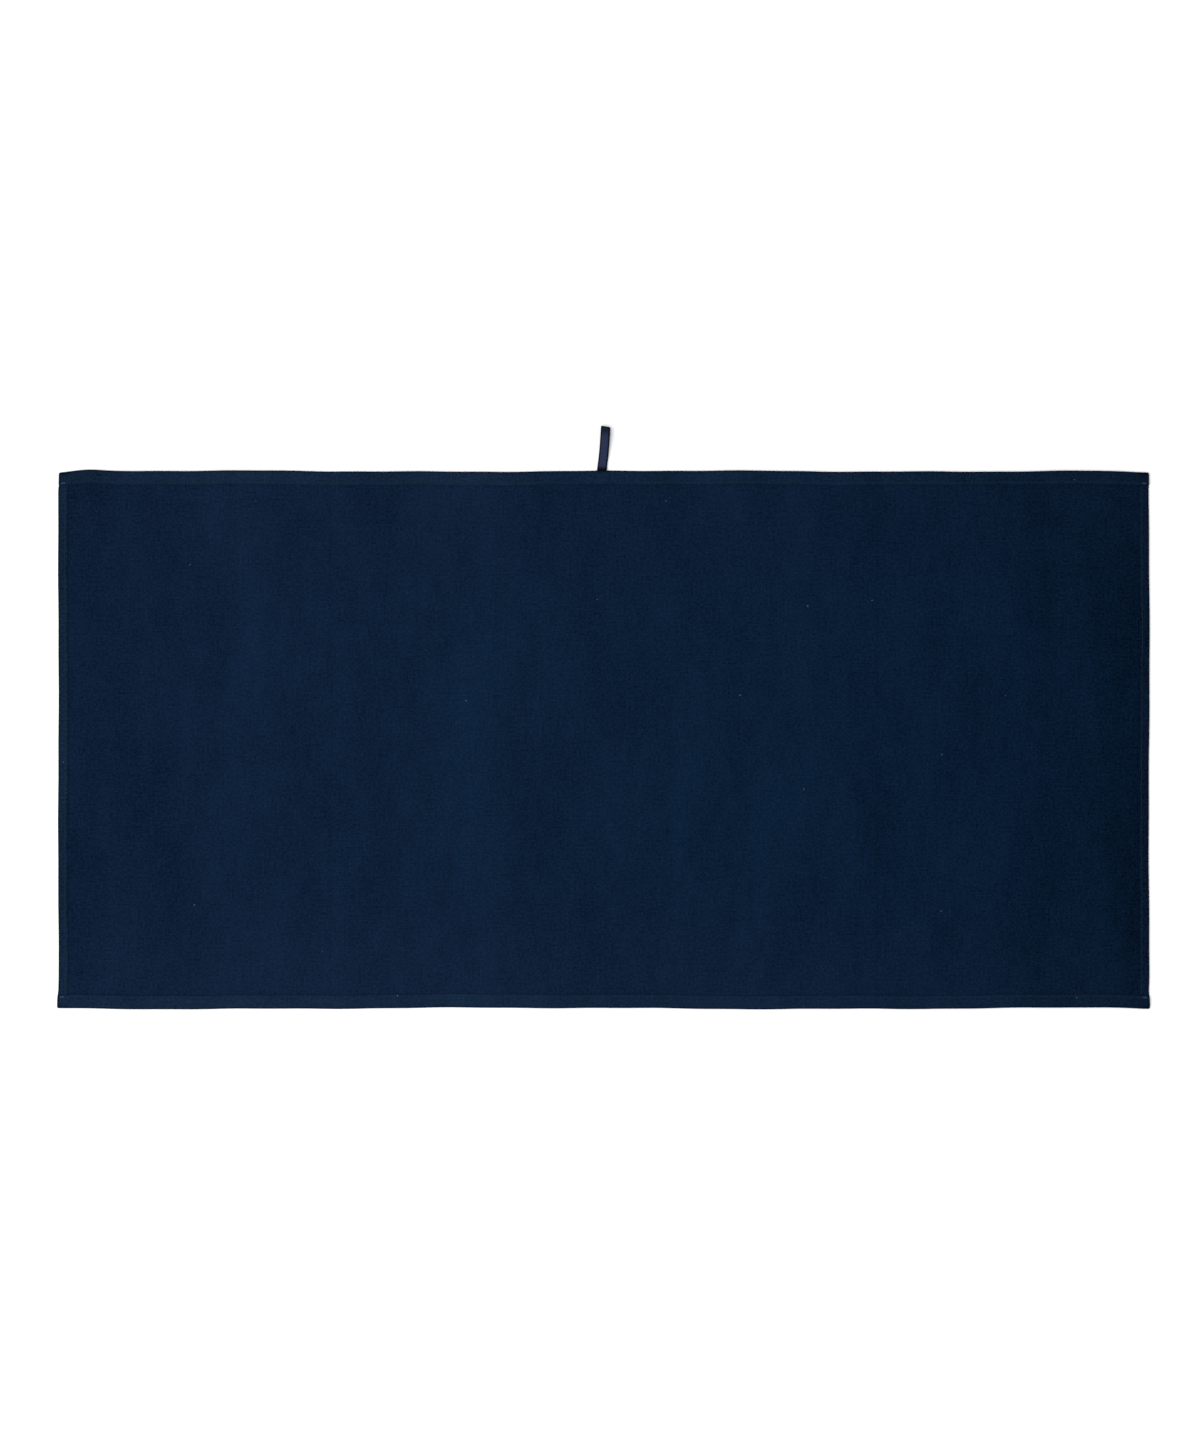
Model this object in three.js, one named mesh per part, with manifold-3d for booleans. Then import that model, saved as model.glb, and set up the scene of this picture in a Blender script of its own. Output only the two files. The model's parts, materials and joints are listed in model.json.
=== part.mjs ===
// A golf towel that lies flat: one hemmed cloth with a folded tape loop at the middle of its top edge.
// Millimetres, +Z up, X along the towel, Y towards the loop. The origin is on the surface that the
// towel lies on, under the middle of the towel and its loop together.
import * as THREE from "three";
import { mergeVertices } from "three/addons/utils/BufferGeometryUtils.js";
import Module from "manifold-3d";

// ---- Driving dimensions ----
const TOWEL_LENGTH = 800; // along X, hem edge to hem edge
const TOWEL_WIDTH = 394; // along Y, hem edge to hem edge
const LOOP_REACH = 33; // how far the loop stands out past the top edge
const CLOTH = 0.7; // one layer of cloth
const HEM_LAYERS = 3; // the cloth itself and two turned layers
const END_HEM = 10; // depth of the top and bottom hems
const SIDE_HEM = 7; // depth of the left and right hems
const NOSE = 1.2; // depth of the rounded outer edge, where the cloth turns back
const RAMP = 2; // length over which a hem climbs onto what lies under it
const CREASE = 200.5; // distance of each pressed fold line from the middle
const CREASE_GAP = 0.3; // gap between two lengths of cloth at a fold line

const TOP_SEAM = 8.2; // from the top edge to its row of stitches
const BOTTOM_SEAM = 8.4;
const LEFT_SEAM = 4.8;
const RIGHT_SEAM = 5.5;
const THREAD_WIDTH = 0.5;
const THREAD_HEIGHT = 0.25;
const SEAM_END = 5.5; // where the row of stitches starts, from the side edge
const TACK_LENGTH = 3; // back stitches at each end of the top and bottom seams
const TACK_WIDTH = 1.2;
const TACK_START = 2; // from the side edge to the tack

const TAPE_WIDTH = 7;
const TAPE = 0.4; // thickness of the loop's tape
const LOOP_X = -1.3; // middle of the loop's root
const LOOP_LEAN = THREE.MathUtils.degToRad(4.5); // the loop leans to the right
const LOOP_HEIGHT = 6; // the bight, where the tape turns back, stands open
const LOOP_ROOT_GAP = 0.8; // from the hem's edge to the axis that the loop swings about
const LEGS_PART = 6; // the tape's two legs lie on each other up to here
const TAIL_LENGTH = 10.5; // sewn into the hem, past the row of stitches
const LOOP_TACK_FROM_EDGE = 3.5;

// ---- Derived dimensions ----
const SIDE_EDGE = TOWEL_LENGTH / 2;
const END_EDGE = TOWEL_WIDTH / 2;
const HEM_TOP = HEM_LAYERS * CLOTH;
const TURNED = HEM_TOP - CLOTH; // the two turned layers that lie on the cloth
const CORNER_LIFT = TURNED; // an end hem lies over the turned layers of a side hem
const TAILS = 2 * TAPE;
const FIT = 0.05; // clearance of what lies between two layers
const LOOP_LIFT = TAILS + 2 * FIT;
const ROOT_Z = CLOTH + FIT + TAPE; // between the tape's two legs, where they leave the hem

const wasm = await Module();
wasm.setup();

// ---- Colours ----
const FINISH = {
  cloth: { color: 0x0c1f36, roughness: 0.95, metalness: 0 },
  thread: { color: 0x1c3049, roughness: 0.7, metalness: 0 },
  tape: { color: 0x2a3149, roughness: 0.8, metalness: 0 },
};

// ---- Solids ----

// A geometry as a solid that can be joined and cut.
function solid(geometry) {
  geometry.deleteAttribute("normal");
  geometry.deleteAttribute("uv");
  const merged = mergeVertices(geometry, 1e-4);
  return new wasm.Manifold(
    new wasm.Mesh({
      numProp: 3,
      vertProperties: merged.attributes.position.array,
      triVerts: new Uint32Array(merged.index.array),
    }),
  );
}

// The geometry of a solid.
function geometryOf(made) {
  const mesh = made.getMesh();
  const geometry = new THREE.BufferGeometry();
  geometry.setAttribute("position", new THREE.BufferAttribute(mesh.vertProperties, 3));
  geometry.setIndex(new THREE.BufferAttribute(mesh.triVerts, 1));
  geometry.computeVertexNormals();
  return geometry;
}

function joined(solids) {
  return solids.reduce((all, next) => all.add(next));
}

// A box from its lowest to its highest corner.
function block([x0, y0, z0], [x1, y1, z1]) {
  const box = new THREE.BoxGeometry(x1 - x0, y1 - y0, z1 - z0);
  return box.translate((x0 + x1) / 2, (y0 + y1) / 2, (z0 + z1) / 2);
}

// A shape drawn with X across and Z up, extruded along Y from y0 to y1.
function alongY(shape, y0, y1) {
  const geometry = new THREE.ExtrudeGeometry(shape, { depth: y1 - y0, bevelEnabled: false });
  return geometry.rotateX(Math.PI / 2).translate(0, y1, 0);
}

// A shape drawn with Y across and Z up, extruded along X from x0 to x1.
function alongX(shape, x0, x1, curveSegments = 8) {
  const settings = { depth: x1 - x0, bevelEnabled: false, curveSegments };
  const geometry = new THREE.ExtrudeGeometry(shape, settings);
  return geometry.rotateX(Math.PI / 2).rotateZ(Math.PI / 2).translate(x0, 0, 0);
}

// A layer of even thickness whose underside is at height base above the knots [x, lift].
function layer(knots, base, thickness) {
  const under = knots.map(([x, lift]) => new THREE.Vector2(x, base + lift));
  const over = knots.map(([x, lift]) => new THREE.Vector2(x, base + lift + thickness));
  return new THREE.Shape([...under, ...over.reverse()]);
}

// The knots between two places, with the lift at each end worked out along the ramps.
function between(knots, x0, x1) {
  const liftAt = (x) => {
    const i = Math.max(1, knots.findIndex(([k]) => k >= x));
    const [[a, liftA], [b, liftB]] = [knots[i - 1], knots[i]];
    return liftA + ((liftB - liftA) * (x - a)) / (b - a);
  };
  const inside = knots.filter(([x]) => x > x0 && x < x1);
  return [[x0, liftAt(x0)], ...inside, [x1, liftAt(x1)]];
}

// ---- Cloth ----

// The stretch of the towel that each length of cloth takes, between the side edges and the fold lines.
const STRETCHES = {
  left: [-SIDE_EDGE, -CREASE - CREASE_GAP / 2],
  middle: [-CREASE + CREASE_GAP / 2, CREASE - CREASE_GAP / 2],
  right: [CREASE + CREASE_GAP / 2, SIDE_EDGE],
};

// How far an end hem is lifted along the towel: over each side hem, and over the loop's tails if it has them.
function hemKnots(loopX) {
  const level = SIDE_EDGE - SIDE_HEM - FIT;
  const half = TAPE_WIDTH / 2 + 0.5;
  const overTails = loopX === null
    ? []
    : [
        [loopX - half - RAMP, 0],
        [loopX - half, LOOP_LIFT],
        [loopX + half, LOOP_LIFT],
        [loopX + half + RAMP, 0],
      ];
  return [
    [-SIDE_EDGE, CORNER_LIFT],
    [-level, CORNER_LIFT],
    [-level + RAMP, 0],
    ...overTails,
    [level - RAMP, 0],
    [level, CORNER_LIFT],
    [SIDE_EDGE, CORNER_LIFT],
  ];
}

const TOP_KNOTS = hemKnots(LOOP_X);
const BOTTOM_KNOTS = hemKnots(null);

// The rounded edge of a hem, where the cloth turns up and back over itself, lifted by what lies inside it.
function noseShape(edge, lift) {
  const inner = edge - NOSE;
  const top = HEM_TOP + lift;
  const lip = 0.3;
  const shape = new THREE.Shape();
  shape.moveTo(inner, 0);
  shape.absellipse(inner, top / 2, NOSE, top / 2, -Math.PI / 2, Math.PI / 2, false, 0);
  shape.lineTo(inner - lip, top);
  shape.lineTo(inner - lip, CLOTH + lift);
  shape.lineTo(inner, CLOTH + lift);
  return shape;
}

// One stretch of an end hem, with its edge at +Y.
function endHem([x0, x1], knots) {
  const own = between(knots, x0, x1);
  const pieces = [solid(alongY(layer(own, CLOTH, TURNED), END_EDGE - END_HEM, END_EDGE - NOSE))];
  for (let i = 1; i < own.length; i++) {
    const [[a, liftA], [b, liftB]] = [own[i - 1], own[i]];
    pieces.push(solid(alongX(noseShape(END_EDGE, Math.min(liftA, liftB)), a, b)));
  }
  return joined(pieces);
}

// The slit in the top hem's rounded edge that the loop's tape comes out through.
function tapeSlit() {
  const half = TAPE_WIDTH / 2 + 0.4;
  const low = [LOOP_X - half, END_EDGE - NOSE - 1, CLOTH];
  const high = [LOOP_X + half, END_EDGE + 1, CLOTH + LOOP_LIFT];
  return solid(block(low, high));
}

// A side hem, made along X with its edge at +Y; its ends go under the end hems.
function sideHem() {
  const reach = END_EDGE - NOSE;
  const flat = [[-reach, 0], [reach, 0]];
  return joined([
    solid(alongY(layer(flat, CLOTH, TURNED), -SIDE_HEM, -NOSE)),
    solid(alongX(noseShape(0, 0), -reach, reach)),
  ]);
}

// Grooves in the underside that the bobbin threads sink into.
const GROOVE_DEPTH = THREAD_HEIGHT + 0.1;
const GROOVE_WIDTH = THREAD_WIDTH + 0.4;

const END_SEAMS = {
  top: { y: END_EDGE - TOP_SEAM, knots: TOP_KNOTS },
  bottom: { y: -END_EDGE + BOTTOM_SEAM, knots: BOTTOM_KNOTS },
};
const SIDE_SEAMS = {
  left: { x: -SIDE_EDGE + LEFT_SEAM },
  right: { x: SIDE_EDGE - RIGHT_SEAM },
};
const SIDE_SEAM_REACH = END_EDGE - END_HEM - 0.5; // the side stitches stop at the end hems

// One length of the cloth's single layer, between its edges and fold lines.
function clothPanel([x0, x1]) {
  const low = Math.max(x0, -SIDE_EDGE + NOSE);
  const high = Math.min(x1, SIDE_EDGE - NOSE);
  const reach = END_EDGE - NOSE;
  let panel = solid(block([low, -reach, 0], [high, reach, CLOTH]));
  for (const { y } of Object.values(END_SEAMS)) {
    const groove = block([x0 - 1, y - GROOVE_WIDTH / 2, -1], [x1 + 1, y + GROOVE_WIDTH / 2, GROOVE_DEPTH]);
    panel = panel.subtract(solid(groove));
  }
  for (const { x } of Object.values(SIDE_SEAMS)) {
    const [a, b] = [x - GROOVE_WIDTH / 2, x + GROOVE_WIDTH / 2];
    if (a > low && b < high) {
      const groove = block([a, -SIDE_SEAM_REACH - 0.2, -1], [b, SIDE_SEAM_REACH + 0.2, GROOVE_DEPTH]);
      panel = panel.subtract(solid(groove));
    }
  }
  return panel;
}

// ---- Threads ----

// The stretch of an end seam that lies on one length of cloth.
function seamStretch([x0, x1]) {
  return [Math.max(x0, -SIDE_EDGE + SEAM_END), Math.min(x1, SIDE_EDGE - SEAM_END)];
}

// The needle thread of an end seam lies on the hem and climbs with it.
function endNeedleThread(stretch, { y, knots }) {
  const own = between(knots, ...seamStretch(stretch));
  return alongY(layer(own, HEM_TOP, THREAD_HEIGHT), y - THREAD_WIDTH / 2, y + THREAD_WIDTH / 2);
}

// The bobbin thread of an end seam lies in its groove on the underside.
function endBobbinThread(stretch, { y }) {
  const [x0, x1] = seamStretch(stretch);
  return block([x0, y - THREAD_WIDTH / 2, 0], [x1, y + THREAD_WIDTH / 2, THREAD_HEIGHT]);
}

// A thread of a side seam, with its underside at height z.
function sideThread({ x }, z) {
  const half = THREAD_WIDTH / 2;
  return block([x - half, -SIDE_SEAM_REACH, z], [x + half, SIDE_SEAM_REACH, z + THREAD_HEIGHT]);
}

// Back stitches that lock the end of an end seam, on the raised corner of the hem.
function cornerTack(side, { y }) {
  const outer = SIDE_EDGE - TACK_START;
  const [x0, x1] = [side * outer, side * (outer - TACK_LENGTH)].sort((a, b) => a - b);
  const z = HEM_TOP + CORNER_LIFT;
  return block([x0, y - TACK_WIDTH / 2, z], [x1, y + TACK_WIDTH / 2, z + THREAD_HEIGHT]);
}

// A short second row of stitches that holds the loop's tails, near the hem's edge.
function loopTack() {
  const y = END_EDGE - LOOP_TACK_FROM_EDGE;
  const z = HEM_TOP + LOOP_LIFT;
  const half = TAPE_WIDTH / 2;
  const low = [LOOP_X - half, y - TACK_WIDTH / 2, z];
  return block(low, [LOOP_X + half, y + TACK_WIDTH / 2, z + THREAD_HEIGHT]);
}

// ---- Loop ----

// The loop's length along its own lean, so that its far corner reaches LOOP_REACH past the hem's edge.
const LOOP_LENGTH =
  (LOOP_REACH - LOOP_ROOT_GAP - (TAPE_WIDTH / 2) * Math.sin(LOOP_LEAN)) / Math.cos(LOOP_LEAN);
const BIGHT = LOOP_HEIGHT / 2; // outer radius of the turn at the loop's far end
const BIGHT_Y = LOOP_LENGTH - BIGHT;

// The middle line of the tape, with Y across and Z up: out along the surface, round the bight and back.
// Offset by half the tape to either side, it gives the loop's outer and inner outlines.
function tapeLine(offset) {
  const out = new THREE.Path();
  const low = TAPE / 2 - offset;
  const high = LOOP_HEIGHT - TAPE / 2 + offset;
  const rootLow = ROOT_Z - TAPE / 2 - offset;
  const rootHigh = ROOT_Z + TAPE / 2 + offset;
  out.moveTo(0, rootLow);
  out.lineTo(1, rootLow);
  out.bezierCurveTo(4, rootLow, LEGS_PART - 2, low, LEGS_PART + 3, low);
  out.lineTo(BIGHT_Y, low);
  out.absarc(BIGHT_Y, LOOP_HEIGHT / 2, BIGHT - TAPE / 2 + offset, -Math.PI / 2, Math.PI / 2, false);
  out.bezierCurveTo(BIGHT_Y - 9, high, LEGS_PART + 7, rootHigh, LEGS_PART, rootHigh);
  out.lineTo(0, rootHigh);
  return out.getPoints(12);
}

// The tape folded in two, its legs together at the hem and open at the bight.
function hangingLoop() {
  const shape = new THREE.Shape(tapeLine(TAPE / 2));
  const eyeStart = LEGS_PART - 1.5; // the lower leg has dropped clear of the upper one here
  const eye = tapeLine(-TAPE / 2).filter((p) => p.y > 0 && p.x > eyeStart);
  shape.holes.push(new THREE.Path(eye));
  return alongX(shape, -TAPE_WIDTH / 2, TAPE_WIDTH / 2);
}

// The tape's two ends, flat on each other inside the hem.
function loopTails() {
  const z = CLOTH + FIT;
  const half = TAPE_WIDTH / 2;
  return block([LOOP_X - half, END_EDGE - TAIL_LENGTH, z], [LOOP_X + half, END_EDGE, z + TAILS]);
}

// ---- Assembly ----

function mesh(name, geometry, finish) {
  const made = new THREE.Mesh(geometry, new THREE.MeshStandardMaterial(finish));
  made.name = name;
  return made;
}

const towel = new THREE.Group();
towel.position.set(0, -LOOP_REACH / 2, 0);

for (const [side, stretch] of Object.entries(STRETCHES)) {
  towel.add(mesh(`cloth_${side}`, geometryOf(clothPanel(stretch)), FINISH.cloth));
  let top = endHem(stretch, TOP_KNOTS);
  if (side === "middle") top = top.subtract(tapeSlit());
  towel.add(mesh(`top_hem_${side}`, geometryOf(top), FINISH.cloth));
  // The bottom hem is made with its edge at +Y and turned round, so it takes the opposite stretch.
  const turned = [-stretch[1], -stretch[0]];
  const bottom = geometryOf(endHem(turned, BOTTOM_KNOTS)).rotateZ(Math.PI);
  towel.add(mesh(`bottom_hem_${side}`, bottom, FINISH.cloth));
  for (const [end, seam] of Object.entries(END_SEAMS)) {
    towel.add(mesh(`${end}_needle_thread_${side}`, endNeedleThread(stretch, seam), FINISH.thread));
    towel.add(mesh(`${end}_bobbin_thread_${side}`, endBobbinThread(stretch, seam), FINISH.thread));
  }
}

for (const [side, sign] of [["left", -1], ["right", 1]]) {
  const hem = mesh(`${side}_hem`, geometryOf(sideHem()), FINISH.cloth);
  hem.rotation.z = (-sign * Math.PI) / 2;
  hem.position.x = sign * SIDE_EDGE;
  towel.add(hem);
  const seam = SIDE_SEAMS[side];
  towel.add(mesh(`${side}_needle_thread`, sideThread(seam, HEM_TOP), FINISH.thread));
  towel.add(mesh(`${side}_bobbin_thread`, sideThread(seam, 0), FINISH.thread));
  for (const [end, endSeam] of Object.entries(END_SEAMS)) {
    towel.add(mesh(`${end}_${side}_corner_tack`, cornerTack(sign, endSeam), FINISH.thread));
  }
}

const loop = mesh("hanging_loop", hangingLoop(), FINISH.tape);
loop.position.set(LOOP_X, END_EDGE + LOOP_ROOT_GAP, 0);
loop.rotation.z = -LOOP_LEAN;
towel.add(loop);
towel.add(mesh("loop_tails", loopTails(), FINISH.tape));
towel.add(mesh("loop_tack", loopTack(), FINISH.thread));

const group = new THREE.Group();
group.add(towel);

export default group;
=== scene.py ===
"""A golf towel that lies flat: a hemmed cloth with a folded tape loop at the middle of its top edge.

Metres, +Z up, X along the towel, Y towards the loop. The cloth is one flat cut that is turned into its hems,
pressed and laid by a chain of functions, and the threads go through the same chain.
"""

import json
import math

import bpy
import numpy as np
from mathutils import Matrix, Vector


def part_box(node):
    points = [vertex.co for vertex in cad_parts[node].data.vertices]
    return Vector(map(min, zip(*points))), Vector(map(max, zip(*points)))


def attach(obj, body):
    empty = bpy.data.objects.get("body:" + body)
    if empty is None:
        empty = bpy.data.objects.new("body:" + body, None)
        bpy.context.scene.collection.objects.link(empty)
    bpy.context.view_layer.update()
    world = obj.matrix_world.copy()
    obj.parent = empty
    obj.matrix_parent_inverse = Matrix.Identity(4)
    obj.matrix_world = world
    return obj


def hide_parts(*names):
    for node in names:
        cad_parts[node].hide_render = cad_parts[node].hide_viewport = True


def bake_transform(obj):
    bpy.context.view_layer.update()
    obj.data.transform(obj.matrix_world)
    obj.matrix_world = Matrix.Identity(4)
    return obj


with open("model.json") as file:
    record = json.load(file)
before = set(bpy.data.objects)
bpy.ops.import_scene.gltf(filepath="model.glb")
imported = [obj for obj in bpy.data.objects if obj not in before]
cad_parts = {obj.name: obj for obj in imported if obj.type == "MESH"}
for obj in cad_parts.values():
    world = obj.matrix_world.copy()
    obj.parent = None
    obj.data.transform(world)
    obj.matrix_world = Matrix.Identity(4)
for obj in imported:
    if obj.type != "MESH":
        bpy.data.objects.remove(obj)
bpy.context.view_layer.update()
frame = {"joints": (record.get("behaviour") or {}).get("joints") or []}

bl_info = {
    "name": "Golf towel",
    "version": (1, 0, 0),
    "blender": (4, 5, 0),
    "location": "View3D > Sidebar > Towel",
    "description": "Builds a hemmed golf towel with its stitches and hanging loop",
    "category": "Add Mesh",
}

MM = 0.001

# ---- Places that come from the frame ----

JOINTS = {joint["name"]: joint for joint in frame["joints"]}
HALF_LENGTH = (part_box("right_hem")[1].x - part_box("left_hem")[0].x) / 2
TOP_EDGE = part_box("top_hem_middle")[1].y
BOTTOM_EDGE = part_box("bottom_hem_middle")[0].y
HALF_WIDTH = (TOP_EDGE - BOTTOM_EDGE) / 2
MIDDLE_Y = (TOP_EDGE + BOTTOM_EDGE) / 2
LEFT_FOLD = JOINTS["left_fold"]["pos_m"][0]
RIGHT_FOLD = JOINTS["right_fold"]["pos_m"][0]
LOOP_ROOT = JOINTS["loop_swing"]["pos_m"]
LOOP_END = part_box("hanging_loop")[1]


def middle_of(node, axis):
    """Halfway between a node's lowest and highest corner along one axis."""
    low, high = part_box(node)
    return (low[axis] + high[axis]) / 2


TOP_SEAM = middle_of("top_needle_thread_middle", 1)
BOTTOM_SEAM = middle_of("bottom_needle_thread_middle", 1)
LEFT_SEAM = middle_of("left_needle_thread", 0)
RIGHT_SEAM = middle_of("right_needle_thread", 0)
LOOP_TACK = middle_of("loop_tack", 1)
SEAM_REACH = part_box("top_needle_thread_right")[1].x
SIDE_SEAM_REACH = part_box("left_needle_thread")[1].y - MIDDLE_Y
TACK_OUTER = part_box("top_right_corner_tack")[1].x
TACK_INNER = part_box("top_right_corner_tack")[0].x
TAIL_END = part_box("loop_tails")[0].y

PARTING = 40 * MM  # the cloth is made in two lengths that meet here
LAYER_GAP = 0.03 * MM  # between layers that lie on each other, so that no two faces share a place
LOOP_LEAN = math.radians(5.2)  # to the right, past the root
PRESS = 0.14  # how much thinner a hem is pressed
EDGE_PRESS = 0.2  # and how much thinner again at its outer edge
SEAM_GROOVE = 0.6 * MM  # half the width of the groove that a seam draws
GROOVE_OVER, GROOVE_UNDER = 0.22 * MM, 0.3 * MM  # its depth in the upper side and in the underside


# ---- Sizes and colours that a user would change ----


def length(name, description, default):
    """A size property in metres."""
    return bpy.props.FloatProperty(name=name, description=description, default=default, unit="LENGTH", precision=5)


def colour(name, description, default):
    """A linear colour property."""
    return bpy.props.FloatVectorProperty(
        name=name, description=description, default=default, subtype="COLOR", min=0, max=1
    )


class TowelSizes(bpy.types.PropertyGroup):
    """Sizes of the cloth, the stitches and the loop."""

    cloth: length("Cloth", "Thickness of one layer of cloth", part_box("cloth_middle")[1].z)
    end_hem: length("End hem", "Depth of the top and bottom hems", TOP_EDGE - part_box("top_hem_middle")[0].y)
    side_hem: length("Side hem", "Depth of the side hems", HALF_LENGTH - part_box("right_hem")[0].x)
    grid: length("Grid", "Spacing of the open cloth's mesh along the towel", 3.3 * MM)
    fold: length("Fold", "Width over which the cloth bends at a fold line", 6 * MM)
    wave: length("Wave", "Height of the soft waves in the laid cloth", 0.9 * MM)
    waver: length("Waver", "How far the hems stray from a straight line", 0.7 * MM)
    end_stitch: length("End stitch", "Length of a stitch in the top and bottom seams", 1.96 * MM)
    left_stitch: length("Left stitch", "Length of a stitch in the left seam", 3.6 * MM)
    right_stitch: length("Right stitch", "Length of a stitch in the right seam", 3.05 * MM)
    thread: length("Thread", "Thickness of the sewing thread", 0.34 * MM)
    tape_width: length("Tape width", "Width of the loop's tape", 7 * MM)
    tape: length("Tape", "Thickness of the loop's tape", 0.4 * MM)


class TowelColours(bpy.types.PropertyGroup):
    """Colours of the finishes."""

    cloth: colour("Cloth", "The cloth's face", (0.0020, 0.0101, 0.0264))
    # The second cloth colour is a painted sheen: a redder navy
    worn: colour("Worn cloth", "The cloth's face where the dye has worn", (0.0040, 0.0101, 0.0258))
    # The two hem colours are the hems' paler side with painted light at the left end and painted shade at the right
    # end
    hem: colour("Hem", "The cloth's paler side at the left end, which the turned hems show", (0.0055, 0.0135, 0.0296))
    dark_hem: colour("Dark hem", "The cloth's paler side at the right end", (0.0038, 0.0118, 0.0278))
    thread: colour("Thread", "The sewing thread", (0.0078, 0.0185, 0.0375))
    tack: colour("Back stitches", "Thread that is piled up in the back stitches", (0.0200, 0.0420, 0.0620))
    tape: colour("Tape", "The loop's woven tape", (0.0180, 0.0245, 0.0540))
    lint: colour("Lint", "Fluff caught on the cloth", (0.1600, 0.1900, 0.2400))
    floor: colour("Floor", "The surface under the towel", (0.84, 0.84, 0.84))


# ---- Shaping functions ----


def smooth(start, end, value):
    """The smoothstep of value between start and end: 3t^2 - 2t^3 of how far along it is."""
    t = np.clip((value - start) / (end - start), 0, 1)
    return t * t * (3 - 2 * t)


def bump(centre, width, value):
    """A bell: e to the minus square of the distance from centre over width."""
    return np.exp(-(((value - centre) / width) ** 2))


def spaced(start, end, step, marks=()):
    """Places from start to end about a step apart, with the marks let in and their close neighbours left out."""
    even = np.linspace(start, end, max(2, int(round(abs(end - start) / step)) + 1))
    low, high = min(start, end), max(start, end)
    inside = np.array([m for m in marks if low + step / 4 < m < high - step / 4])
    if len(inside):
        gap = np.abs(even[1:-1, None] - inside[None, :]).min(axis=1)
        even = np.concatenate([even[:1], even[1:-1][gap > step / 2.5], even[-1:], inside])
    ordered = np.sort(even)
    return ordered if end > start else ordered[::-1]


class Stations:
    """Samples along one direction of the cut, from raw edge to raw edge.

    Each has the stretch of the hem's path that it is in, how far along that stretch it is, its side (-1 or 1),
    its place on the open cloth and its distance from the middle of the flat cut. The stretches are the open
    cloth, the cloth under the hem, the outer turn, the top layer, the inner turn and the turned-in layer.
    """

    OPEN, UNDER, OUTER, TOP, INNER, IN = range(6)

    def __init__(self, half, depth, cloth, step, marks, seam_marks):
        turn, back = half - 1.5 * cloth, half - depth + cloth
        hold, raw = half - depth - 4 * MM, turn - 0.3 * MM
        under = spaced(hold, turn, 1.1 * MM, seam_marks)[:-1]
        top = spaced(turn, back, 1.1 * MM, seam_marks)[:-1]
        turned_in = spaced(back, raw, 1.6 * MM, seam_marks)
        outer, inner = np.arange(10) / 10, np.arange(6) / 6
        end_of_top = turn + math.pi * cloth + (turn - back)
        rows = [
            (self.UNDER, (under - hold) / (turn - hold), under),
            (self.OUTER, outer, turn + outer * math.pi * cloth),
            (self.TOP, (turn - top) / (turn - back), turn + math.pi * cloth + (turn - top)),
            (self.INNER, inner, end_of_top + inner * math.pi * cloth / 2),
            (self.IN, (turned_in - back) / (raw - back), end_of_top + math.pi * cloth / 2 + turned_in - back),
        ]
        stretch = np.concatenate([np.full(len(share), kind) for kind, share, _ in rows])
        share = np.concatenate([share for _, share, _ in rows])
        flat = np.concatenate([flat for _, _, flat in rows])
        open_cloth = spaced(-hold, hold, step, marks)[1:-1]
        none = np.zeros(len(open_cloth))
        self.stretch = np.concatenate([stretch[::-1], none.astype(int), stretch])
        self.share = np.concatenate([share[::-1], none, share])
        self.flat = np.concatenate([-flat[::-1], open_cloth, flat])
        self.side = np.sign(self.flat)
        self.half, self.depth, self.hold, self.cloth = half, depth, hold, cloth

    def part(self, keep):
        """The same stations with only the kept ones."""
        other = object.__new__(Stations)
        other.__dict__.update(self.__dict__)
        for name in ("stretch", "share", "flat", "side"):
            setattr(other, name, getattr(self, name)[keep])
        return other

    def turned(self, pad=0.0, lift=0.0):
        """The cloth's middle surface through a double-turned hem: place, height, and the two parts of its normal.

        Level cloth, a half circle up over itself, a level layer back, a half circle down and a level layer out
        to the raw edge. pad is what lies on the cloth and is turned in with it, and lift what the hem holds.
        """
        cloth, k, t = self.cloth, self.stretch, self.share
        level = cloth / 2
        low = level + cloth + pad + lift
        high = low + cloth + 2 * pad
        outer, inner = (high - level) / 2, (high - low) / 2
        turn = self.half - cloth / 2 - outer
        back = self.half - self.depth + cloth / 2 + inner
        raw = turn - 0.3 * MM
        zero, one = 0 * (t + turn), 0 * (t + turn) + 1
        a, b = math.pi * (t - 0.5), math.pi * t
        place = np.choose(k, [
            np.abs(self.flat) + zero,
            self.hold + t * (turn - self.hold),
            turn + outer * np.cos(a),
            turn + t * (back - turn),
            back - inner * np.sin(b),
            back + t * (raw - back),
        ])
        height = np.choose(k, [
            level + zero,
            level + zero,
            level + outer + outer * np.sin(a),
            high + zero,
            high - inner + inner * np.cos(b),
            low + zero,
        ])
        across = np.choose(k, [zero, zero, zero - np.cos(a), zero, zero + np.sin(b), zero])
        upward = np.choose(k, [one, one, zero - np.sin(a), -one, zero - np.cos(b), one])
        side = np.where(self.side < 0, -1.0, 1.0)
        return place * side, height, across * side, upward


def corner_pad(sizes, x):
    """The two extra layers of a side hem, which an end hem goes over: a step at the side hem's inner edge."""
    inner = HALF_LENGTH - sizes.side_hem
    return 2 * sizes.cloth * smooth(inner - 2.3 * MM, inner - 0.1 * MM, np.abs(x))


def loop_lift(sizes, x, y):
    """The height of the tape's tails inside the top hem, with a short ramp on each side."""
    half = sizes.tape_width / 2 + 0.5 * MM
    rise = 2 * sizes.tape + 0.1 * MM
    return rise * (1 - smooth(half, half + 2.4 * MM, np.abs(x - LOOP_ROOT[0]))) * (y > MIDDLE_Y)


def hem_top(sizes, x, y):
    """The height of a hem's upper side before it is pressed."""
    end = np.abs(y - MIDDLE_Y) > HALF_WIDTH - sizes.end_hem - 0.2 * MM
    return 3 * sizes.cloth + end * (3 * corner_pad(sizes, x) + loop_lift(sizes, x, y))


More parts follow.
